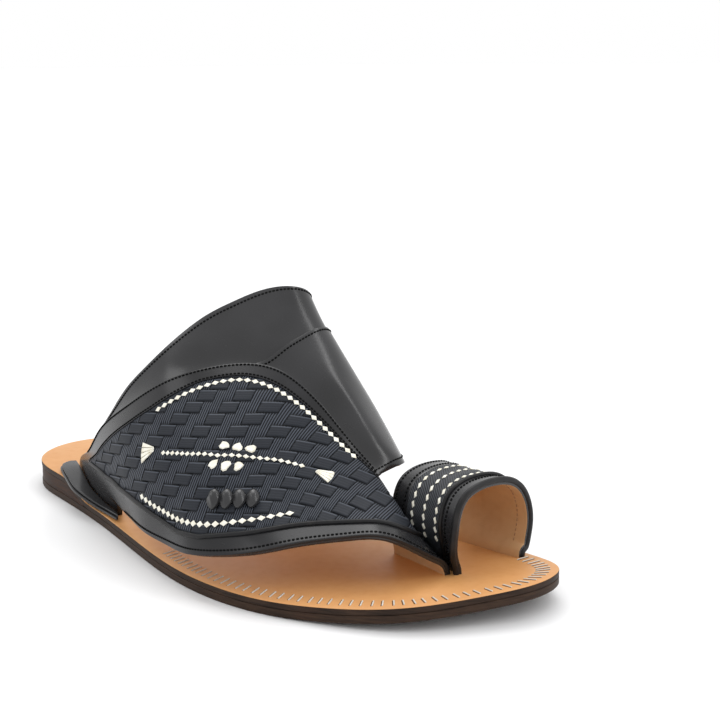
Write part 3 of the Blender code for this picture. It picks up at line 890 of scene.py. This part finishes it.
def build_footbed_stitches(finish):
    """Waxed thread over the rim of the forefoot, each stitch slanted across the edge, with a dark sunk copy
    beside each stitch as its painted shadow.
    """
    model = stitch_model(*FOOTBED_STITCH)
    rim = outline_edges(1200)
    tangent, inward = rim_directions(rim)
    run = run_length(rim)
    lateral = np.argmax(rim[:, 0] > STITCHES_FROM)
    toe = rim[:, 0].argmax()
    medial = toe + np.argmax(rim[toe:, 0] < STITCHES_TO)
    places = []
    at = run[lateral]
    while at < run[medial]:
        k = np.searchsorted(run, at)
        pitch = 3.3 + 0.85 * smooth(155, 200, rim[k, 0])
        slant = 0.22 - 0.10 * smooth(175, 235, rim[k, 0])
        at += pitch
        middle = rim[k] + inward[k] * STITCH_INSET
        lean = inward[k] - slant * tangent[k]
        height = footbed_top(middle[0])
        slope = (footbed_top(middle[0] + 1) - footbed_top(middle[0] - 1)) / 2
        point = (middle[0], middle[1], height + 0.12)
        places.append(seat_matrix(point, (lean[0], lean[1], lean[0] * slope), (-slope, 0, 1)))
    # a dark brown copy of each stitch, sunk and set aside, paints the stitch's shadow on the footbed
    sunk = Matrix.Translation((0, 0, -STITCH_SHADOW_DEPTH * MM))
    aside = Matrix.Translation((0, STITCH_SHADOW_ASIDE * MM, 0))
    shadow_places = [sunk @ place @ aside for place in places]
    shadow_model = model.copy()
    shadow_model.data = model.data.copy()
    shadows = copies("footbed_stitch_shadows", shadow_model, shadow_places)
    dress(shadows, "footbed_leather", finish["stitch_shadow"])
    stitches = copies("footbed_stitches", model, places)
    dress(stitches, "footbed_leather", finish["grey_thread"])


# Upper


def ring_outer(s, t):
    """Outer face of the ring as worn: its lateral foot lies inside the wing's lining."""
    grid = ring_surface(s, t)
    under = (1 - smooth(0.10, 0.24, s))[:, None] * (1 - smooth(249, 256, grid[..., 0]))
    grid[..., 1] += 2.6 * under
    return grid


def panel_edges(s):
    table = np.array(PANEL, float)
    return np.interp(s, table[:, 0], table[:, 1]), np.interp(s, table[:, 0], table[:, 2])


def wing_length(s):
    """Length across the wing at each place along it."""
    lines = wing_surface(s, np.linspace(0, 1, 13))
    return np.linalg.norm(np.diff(lines, axis=1), axis=2).sum(axis=1)


def build_wing(finish):
    first, last = PANEL[0][0], PANEL[-1][0]
    rear, panel = np.linspace(0, first, 17), np.linspace(first, last, 191)
    s = np.r_[rear, panel[1:], np.linspace(last, 1, 19)[1:]]
    upper, lower = panel_edges(s)
    above, across = 8, 24  # steps from the border to the panel, and over the panel
    t = [upper * k for k in np.linspace(0, 1, above + 1)[:-1]]
    t += [upper + (lower - upper) * k for k in np.linspace(0, 1, across + 1)]
    t += [lower + (1 - lower) * k for k in np.linspace(0, 1, 13)[1:]]
    t = np.array(t).T
    face, out = sheet(wing_surface, s, t)
    border = grid_sheet("wing_border", face, out)
    rows, columns = face.shape[:2]
    i, j = np.divmod(np.arange((rows - 1) * (columns - 1)), columns - 1)
    along = (s[i] > first - 1e-6) & (s[i + 1] < last + 1e-6)
    delete_faces(border, along & (j >= above) & (j < above + across))
    finish_wall(border, RECESS, "upper_leather", finish["border"], edge=0.35)
    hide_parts("upper")

    base = grid_sheet("wing_base", face - out * (RECESS + 0.02), out)
    wall = WING_WALL - RECESS
    finish_wall(base, wall, "upper_leather", finish["black"], finish["lining"], edge=0.25)


def weave_map(points):
    """Counts of rib bundles and of strips at points of the wing."""
    along, up = points @ WEAVE_ALONG, points @ WEAVE_UP
    bend = np.maximum(along - BEND_FROM, 0)
    up = up + 0.5 * BEND * bend**2
    lean = SLANT[0] + (SLANT[1] - SLANT[0]) * smooth(BEND_FROM - 10, BEND_FROM + 50, along)
    across = along - (up - WEAVE_MIDDLE) * lean
    return across / WARP, up / WEFT


def weave_relief(across, up):
    """Height of the weave: flat strips that dive at their ends, ribs that arch over two strips."""
    lane = (across - np.floor(up)) % 4
    strip = lane < 2
    ends = np.clip((1 - np.abs(lane - 1)) * 7, 0, 1)
    sides = np.clip((0.5 - np.abs(up % 1 - 0.5)) * 9, 0, 1)
    rise = (up - np.floor(across)) % 4
    crest = np.clip((1 - np.abs(rise - 2)) * 3, 0, 1)
    flat = 0.50 * smooth(0, 1, ends) * smooth(0, 1, sides)
    ribs = 0.16 + 0.30 * smooth(0, 1, crest)
    return np.where(strip, 0.06 + flat, ribs)


def build_wing_weave(finish):
    first, last = PANEL[0][0], PANEL[-1][0]
    s = np.linspace(first - 0.004, last + 0.006, 370)
    share = np.linspace(0, 1, 118)
    upper, lower = panel_edges(s)
    t = (upper - 0.004)[:, None] + (lower - upper + 0.008)[:, None] * share
    face, out = sheet(wing_surface, s, t)
    across, up = weave_map(face)
    edge = np.minimum(np.minimum(share, 1 - share)[None, :] * 40, 1)
    relief = weave_relief(across, up) * edge
    points = face + out * (relief - WEAVE_DEPTH)[..., None]
    weave = grid_sheet("wing_weave_panel", points, out, np.stack([across, up], axis=-1))
    finish_wall(weave, 0.5, "woven_leather", finish["woven"], angle=60)
    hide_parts("wing_weave")


# Motifs of cream thong on the wing: anchors (along, across), number of diamonds, half sizes
DIAMOND_ROWS = [
    ([(0.375, 0.188), (0.430, 0.146), (0.480, 0.118), (0.535, 0.104), (0.595, 0.100),
      (0.650, 0.100), (0.710, 0.106), (0.785, 0.108)], 30, 1.12),
    ([(0.393, 0.490), (0.436, 0.527), (0.475, 0.552), (0.520, 0.552), (0.550, 0.522),
      (0.605, 0.452), (0.645, 0.412), (0.686, 0.393)], 23, 0.95),
    ([(0.322, 0.728), (0.364, 0.787), (0.403, 0.824), (0.450, 0.860), (0.500, 0.874),
      (0.545, 0.866), (0.590, 0.833), (0.640, 0.792), (0.689, 0.748)], 23, 1.2),
]
DROPS = [  # along, across, lean, half length, half width
    (0.535, 0.485, 0.15, 1.9, 1.9), (0.561, 0.460, 0.1, 1.9, 2.0), (0.585, 0.431, 0.3, 1.9, 2.0),
    (0.526, 0.596, 0.1, 1.6, 2.2), (0.552, 0.577, 0.0, 1.7, 2.6), (0.576, 0.545, 0.0, 1.6, 2.3),
]
FANS = [((0.356, 0.450), 1, 4.4, 4.6), ((0.725, 0.393), -1, 3.6, 3.0)]  # half length, half width


def wing_line(anchors, count):
    """Points and normals along a line on the wing through its anchors."""
    anchors = np.array(anchors, float)
    route = spline(np.linspace(0, 1, len(anchors)), anchors, np.linspace(0, 1, count))
    return line_on(wing_surface, route[:, 0], route[:, 1])


def seat_on(s, t):
    """Place of a small piece on the wing, its x along the wing."""
    line, out = wing_line([(s - 0.01, t), (s, t), (s + 0.01, t)], 3)
    return seat_matrix(line[1] + out[1] * 0.05, line[2] - line[0], out[1])


def diamond_model(half_long, half_wide, height):
    """A pillow of thong with four points."""
    deselect_all()
    side = math.sqrt(2)
    bpy.ops.mesh.primitive_grid_add(x_subdivisions=4, y_subdivisions=4, size=side)
    model = bpy.context.active_object
    x, y, _ = points_of(model).T
    bulge = np.sqrt(1 - np.maximum(np.abs(x), np.abs(y)) / (side / 2))
    along, across = (x - y) / side, (x + y) / side
    place_points(model, np.c_[along * half_long, across * half_wide, height * bulge] * MM)
    thicken(model, 0.35)
    return model


def outline_model(outline, height):
    """A small leaf of thong: an outline filled and raised, its rim eased."""
    deselect_all()
    bpy.ops.mesh.primitive_circle_add(vertices=len(outline), fill_type="NGON")
    model = bpy.context.active_object
    place_points(model, np.c_[np.array(outline), np.zeros(len(outline))] * MM)
    lift = {"value": (0, 0, height * MM)}
    in_edit_mode(
        model,
        lambda: bpy.ops.mesh.extrude_region_move(TRANSFORM_OT_translate=lift),
        lambda: bpy.ops.transform.resize(value=(0.8, 0.8, 1)),
        lambda: bpy.ops.mesh.select_all(action="SELECT"),
        lambda: bpy.ops.mesh.normals_make_consistent(inside=False),
    )
    return model


def build_motifs(finish):
    rows = []
    for number, (anchors, count, size) in enumerate(DIAMOND_ROWS, 1):
        line, out = wing_line(anchors, 240)
        length = run_length(line)[-1]
        model = diamond_model(0.47 * length / count, 1.05 * size, 0.35)
        places = along_line(line + out * 0.18, out, length / count * 1.0001)
        rows.append(copies(f"diamonds_{number}", model, places))
    for number, (s, t, lean, long, wide) in enumerate(DROPS, 1):
        angle = np.linspace(0, 2 * math.pi, 11)[:-1]
        ragged = 1 + 0.14 * np.sin(angle * 3 + number) + 0.08 * np.sin(angle * 5 + 2 * number)
        outline = np.c_[long * np.cos(angle) * ragged, wide * np.sin(angle) * ragged]
        outline[:, 0] += lean * outline[:, 1]
        leaf = outline_model(outline, 0.5)
        rows.append(copies(f"drop_{number}", leaf, [seat_on(s, t)]))
    for number, ((s, t), way, long, wide) in enumerate(FANS, 1):
        for pleat in range(4):
            low, high = -1.0 + 0.5 * pleat, -1.0 + 0.5 * (pleat + 1) - 0.06
            outline = [
                (way * long, 0.2 * wide * low),
                (way * long, 0.2 * wide * high),
                (-way * long * math.cos(high * 0.6), wide * high),
                (-way * long * math.cos(low * 0.6), wide * low),
            ]
            leaf = outline_model(outline, 0.45 + 0.08 * (pleat % 2))
            rows.append(copies(f"fan_{number}_{pleat}", leaf, [seat_on(s, t)]))
    dress(joined("cream_motifs", rows), "woven_leather", finish["cream"], angle=30)


KNOTS = [(0.545, 0.755), (0.570, 0.733), (0.594, 0.708), (0.618, 0.684)]


def build_knots(finish):
    """Rolled leather knots, each a bead with a fold wound round it."""
    for number, (s, t) in enumerate(KNOTS, 1):
        deselect_all()
        bpy.ops.mesh.primitive_uv_sphere_add(segments=36, ring_count=22, radius=1)
        knot = bpy.context.active_object
        knot.name = f"rolled_knot_{number}"
        x, y, z = points_of(knot).T
        fold = 1 - 0.45 * smooth(0.05, 0.75, x * 0.85 + y * 0.45)
        taper = 1 - 0.22 * np.abs(y) ** 1.5
        points = np.c_[x * 2.95 * taper, y * 4.3, np.maximum(z, -0.25) * 2.5 * fold]
        line, out = wing_line([(s, t - 0.01), (s, t), (s, t + 0.01)], 3)
        place_points(knot, points * MM)
        along = np.cross(line[2] - line[0], out[1])
        knot.data.transform(seat_matrix(line[1] + out[1] * 0.55, along, out[1]))
        dress(knot, "upper_leather", finish["black"], angle=80)
        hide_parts(f"knot_{number}")


TROUGHS = [  # middle, width, depth, drift towards the front edge
    (0.36, 0.035, 0.55, 0.02), (0.47, 0.03, 0.7, 0.03), (0.56, 0.03, 0.5, 0.02), (0.64, 0.035, 0.4, -0.02),
]


def soft_troughs(u, v):
    """Shallow folds of the vamp, from the seam down to its front edge."""
    u, v = u[:, None], v[None, :]
    depth = np.zeros((len(u), v.shape[1]))
    for middle, width, deep, drift in TROUGHS:
        at = middle + drift * v
        depth += deep * np.exp(-(((u - at) / width) ** 2)) * smooth(0.28, 0.6, v)
    return depth


def build_vamp(finish):
    u = np.linspace(0, 1, 150)
    v = np.r_[np.linspace(0, SEAM, 15), np.linspace(SEAM, 1, 47)[1:]]
    face = seat_on_wing(vamp_surface(u, v))
    out = normals(face)
    face = face - out * soft_troughs(u, v)[..., None]
    out = normals(face)
    split, lap = 14, 4  # the seam's column, and how far the rear band runs on under the front one
    front = grid_sheet("vamp_front_band", face[:, split:], out[:, split:])
    finish_wall(front, BAND, "upper_leather", finish["black"], edge=0.35)
    top, foot_of_band = REAR_BAND
    under = face - out * top
    rear = grid_sheet("vamp_rear_band", under[:, : split + lap], out[:, : split + lap])
    finish_wall(rear, foot_of_band - top, "upper_leather", finish["black"], edge=0.25)
    lining = grid_sheet("vamp_lining", face - out * LINING_DEPTH, out)
    finish_wall(lining, VAMP_WALL - LINING_DEPTH, "upper_leather", finish["lining"])
    return v, face, out


def ring_relief(across, up):
    """Slanted ribs between three rows of thong over the toe."""
    rib = np.sqrt(np.clip(1 - (2 * ((across + up) % 1) - 1) ** 2, 0, 1))
    return 0.30 + 0.16 * rib


def build_ring(finish):
    rear, front = RING_PANEL
    s = np.linspace(0, 1, 150)
    face, out = sheet(ring_outer, s, np.linspace(0, 1, 40))
    base = grid_sheet("ring_base", face - out * RING_BAND, out)
    wall = RING_WALL - RING_BAND
    finish_wall(base, wall, "upper_leather", finish["black"], finish["lining"], edge=0.3)
    for name, start, end in (("ring_rear_band", 0.0, rear), ("ring_front_band", front, 1.0)):
        face, out = sheet(ring_outer, s, np.linspace(start, end, 12))
        band = grid_sheet(name, face, out)
        finish_wall(band, RING_BAND, "upper_leather", finish["black"], edge=0.35)
    cords = []
    for name, t, proud, radius in (("ring_rim", 0.985, -0.35, 1.25), ("ring_welt", front, 0.25, 0.85)):
        line, out = line_on(ring_outer, s, t)
        cords.append(cord(name, line + out * proud, radius, 12))
    dress(joined("ring_cords", cords), "upper_leather", finish["edge"], angle=60)

    t = np.linspace(rear - 0.01, front + 0.01, 46)
    s = np.linspace(0.02, 0.98, 260)
    face, out = sheet(ring_outer, s, t)
    middle_line, over_toe = 20, 130
    along = run_length(face[:, middle_line])
    wide = np.linalg.norm(face[over_toe, -1] - face[over_toe, 0])
    across = np.tile((along / RIB_PITCH[0])[:, None], (1, len(t)))
    up = np.tile((t - rear) / (front - rear) * wide / RIB_PITCH[1], (len(s), 1))
    points = face + out * (ring_relief(across, up) - WEAVE_DEPTH)[..., None]
    weave = grid_sheet("ring_weave_panel", points, out, np.stack([across, up], axis=-1))
    finish_wall(weave, 0.4, "woven_leather", finish["ribbed"], angle=60)
    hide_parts("ring_weave")

    rows = []
    slant = Matrix.Identity(4)
    slant[0][1] = THONG_LEAN
    for number in range(3):
        place = rear + (front - rear) * (0.16 + 0.34 * number)
        line, out = line_on(ring_outer, np.linspace(0.14, 0.88, 200), place)
        model = diamond_model(1.5, 0.95, 0.35)
        model.data.transform(slant)
        places = along_line(line + out * 0.1, out, THONG_PITCH)
        rows.append(copies(f"ring_row_{number}", model, places))
    dress(joined("ring_thongs", rows), "woven_leather", finish["cream"], angle=30)


def build_tab(finish):
    """The two layers of the flange beside the heel."""
    rows = np.array(TAB, float)
    at = np.linspace(0, 1, 60)
    inner = spline(chord(rows[:, 0]), rows[:, 0], at)
    outer = spline(chord(rows[:, 1]), rows[:, 1], at)
    layers = []
    for number, (drop, inset) in enumerate(((0.0, 0.9), (1.15, 0.0))):
        share = np.linspace(0, 1, 9)[None, :, None]
        side = (inner - outer) / np.linalg.norm(inner - outer, axis=1, keepdims=True)
        edge = outer + side * inset
        points = edge[:, None] + (inner - edge)[:, None] * share
        points[..., 2] -= drop
        up = np.tile((0.0, 0.0, 1.0), (*points.shape[:2], 1))
        layer = grid_sheet(f"tab_layer_{number}", points, up)
        thicken(layer, 1.0)
        round_edges(layer, 0.3)
        layers.append(layer)
    tab = joined("heel_tab_layers", layers)
    dress(tab, "upper_leather", finish["border"], angle=50)
    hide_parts("heel_tab")


# Seams


def build_seams(finish, vamp):
    """Stitches along the borders and bands, and the welt at the foot of the panel."""
    s = np.linspace(0.10, 0.84, 400)
    width = wing_length(s)
    rims = 0.9 / width, panel_edges(s)[0] - 0.8 / width
    lines = [line_on(wing_surface, s, t) for t in rims]
    s = np.linspace(0.16, 0.93, 400)
    lines.append(line_on(wing_surface, s, 1 - 2.0 / wing_length(s)))
    v, face, out = vamp
    inside = slice(4, -6)
    for t, down in ((0.022, REAR_BAND[0]), (SEAM + 0.022, 0.0), (0.975, 0.0)):
        k = np.abs(v - t).argmin()
        lines.append((face[inside, k] - out[inside, k] * down, out[inside, k]))
    s = np.linspace(0.05, 0.95, 200)
    for t in (0.05, RING_PANEL[0] - 0.05, RING_PANEL[1] + 0.07):
        lines.append(line_on(ring_outer, s, t))
    places = []
    for line, normal in lines:
        places += along_line(line + normal * 0.08, normal, SEAM_PITCH)
    seams = copies("seam_stitches", stitch_model(*SEAM_STITCH), places)
    dress(seams, "upper_leather", finish["black_thread"], angle=60)

    line, normal = line_on(ring_outer, np.linspace(0.06, 0.94, 200), 0.86)
    places = along_line(line - normal * (RING_WALL + 0.06), -normal, LINING_PITCH)
    seams = copies("ring_lining_stitches", stitch_model(*LINING_STITCH), places)
    dress(seams, "upper_leather", finish["tan_thread"], angle=60)

    s = np.linspace(0.09, 0.925, 300)
    line, out = line_on(wing_surface, s, panel_edges(s)[1])
    welt = cord("panel_welt", line + out * 0.15, 1.0, 12)
    dress(welt, "upper_leather", finish["edge"], angle=60)


def build_stage():
    """The pale floor."""
    deselect_all()
    bpy.ops.mesh.primitive_plane_add(size=60)
    floor = bpy.context.active_object
    floor.name = "floor"
    shader = Shader("pale_floor", Roughness=0.6)
    shader.feed("Base Color", shader.mix(shader.noise(3, 2), (0.86, 0.86, 0.87), (0.88, 0.88, 0.88)))
    floor.data.materials.append(shader.material)


LAMPS = [  # name, place, target, size in metres, power
    ("side", (1100, 500, 600), (150, 0, 30), (0.2, 0.9), 2.5),
    ("strip", (515, 556, 1190), (190, 10, 60), (0.9, 0.12), 1.5),
    ("rear", (-515, -566, 1050), (135, -20, 75), (0.5, 0.5), 1.3),
]


def area_light(name, place, target, size, power):
    deselect_all()
    bpy.ops.object.light_add(type="AREA", location=to_frame(place))
    light = bpy.context.active_object
    light.name = name
    light.data.shape = "RECTANGLE"
    light.data.size, light.data.size_y = size
    light.data.energy = power
    light.rotation_euler = (to_frame(target) - light.location).to_track_quat("-Z", "Y").to_euler()


def build_lights_and_camera():
    world = bpy.data.worlds.new("studio")
    bpy.context.scene.world = world
    world.use_nodes = True
    background = world.node_tree.nodes["Background"]
    background.inputs["Color"].default_value = (1, 1, 1, 1)
    background.inputs["Strength"].default_value = 1.0
    bpy.context.scene.view_settings.view_transform = "Standard"
    deselect_all()
    bpy.ops.object.light_add(type="SUN", location=to_frame((-200, 300, 900)))
    sun = bpy.context.active_object
    sun.name = "soft_sun"
    sun.data.energy = 0.8
    sun.data.angle = math.radians(35)
    sun.rotation_euler = Vector((0.45, -0.35, -1.0)).to_track_quat("-Z", "Y").to_euler()
    for lamp in LAMPS:
        area_light(*lamp)
    deselect_all()
    bpy.ops.object.camera_add(location=to_frame(CAMERA))
    camera = bpy.context.active_object
    camera.data.lens = LENS
    camera.data.sensor_width = 36
    turn = Vector(LOOK).to_track_quat("-Z", "Y").to_matrix()
    camera.rotation_euler = (turn @ Matrix.Rotation(ROLL, 3, "Z")).to_euler()
    bpy.context.scene.camera = camera


def main():
    finish = {
        "black": polished_leather("black_leather", 0.22, 0.38),
        "border": polished_leather("border_leather", 0.08, 0.22),
        "edge": edge_paint(),
        "woven": woven_leather(),
        "ribbed": ribbed_leather(),
        "cream": cream_leather(),
        "lining": tan_leather("tan_lining", (0.56, 0.35, 0.175), (0.42, 0.24, 0.11), 0.7),
        "footbed": tan_leather("tan_footbed", (0.67, 0.335, 0.118), (0.56, 0.245, 0.070), 0.45),
        "footbed_edge": sole_edge("footbed_rim", (0.050, 0.029, 0.019), (0.018, 0.011, 0.008)),
        "heel_edge": sole_edge("heel_rim", (0.062, 0.028, 0.015), (0.018, 0.009, 0.006)),
        "outsole_edge": sole_edge("outsole_rim", (0.056, 0.032, 0.020), (0.024, 0.014, 0.010)),
        "tan_thread": thread("tan_thread", (0.40, 0.24, 0.12), (0.24, 0.13, 0.06)),
        # dark brown colour of the painted stitch shadows
        "stitch_shadow": thread("stitch_shadow", (0.22, 0.10, 0.04), (0.10, 0.045, 0.02), 0.1),
        "grey_thread": thread("grey_thread", (0.74, 0.72, 0.66), (0.50, 0.47, 0.41)),
        "black_thread": thread("black_thread", (0.006, 0.006, 0.006), (0.002, 0.002, 0.002), 0.08),
    }
    build_lights_and_camera()
    build_stage()
    build_sole(finish)
    build_footbed_stitches(finish)
    build_wing(finish)
    build_wing_weave(finish)
    build_motifs(finish)
    build_knots(finish)
    vamp = build_vamp(finish)
    build_ring(finish)
    build_tab(finish)
    build_seams(finish, vamp)


main()
